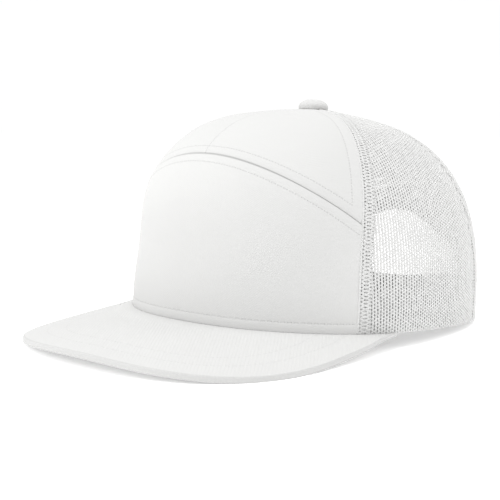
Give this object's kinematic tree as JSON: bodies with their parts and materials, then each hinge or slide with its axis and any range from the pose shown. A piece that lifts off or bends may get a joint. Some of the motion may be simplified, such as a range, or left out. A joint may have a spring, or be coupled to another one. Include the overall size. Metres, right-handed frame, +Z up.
{
  "type": "seven-panel trucker cap",
  "caption": "White flat-visor trucker cap: arched front panel of twill, net sides and back, covered button, sweatband and an arched back opening with a strap.",
  "frame": {"origin": "on the surface that the cap lies on, under the middle of its length and width", "axes": "+Z up from that surface, -Y towards the wearer's front, +X towards the wearer's left"},
  "size_m": [0.1734, 0.2604, 0.1227],
  "materials": {
    "front_twill": "matt white cotton twill with a stiff backing",
    "net": "white knitted polyester net",
    "visor_cloth": "matt white ribbed cotton cloth over a board",
    "button_cloth": "matt white cotton twill",
    "band_cloth": "matt white cotton twill",
    "binding_tape": "white woven tape",
    "strap_plastic": "white moulded soft plastic"
  },
  "bodies": {
    "root": {"lower_front_panel": "front_twill", "upper_front_panel_left": "front_twill", "upper_front_panel_right": "front_twill", "side_mesh_left": "net", "side_mesh_right": "net", "back_mesh_left": "net", "back_mesh_right": "net", "visor": "visor_cloth", "top_button": "button_cloth", "sweatband": "band_cloth", "opening_binding": "binding_tape", "back_strap": "strap_plastic"}
  },
  "joints": []
}
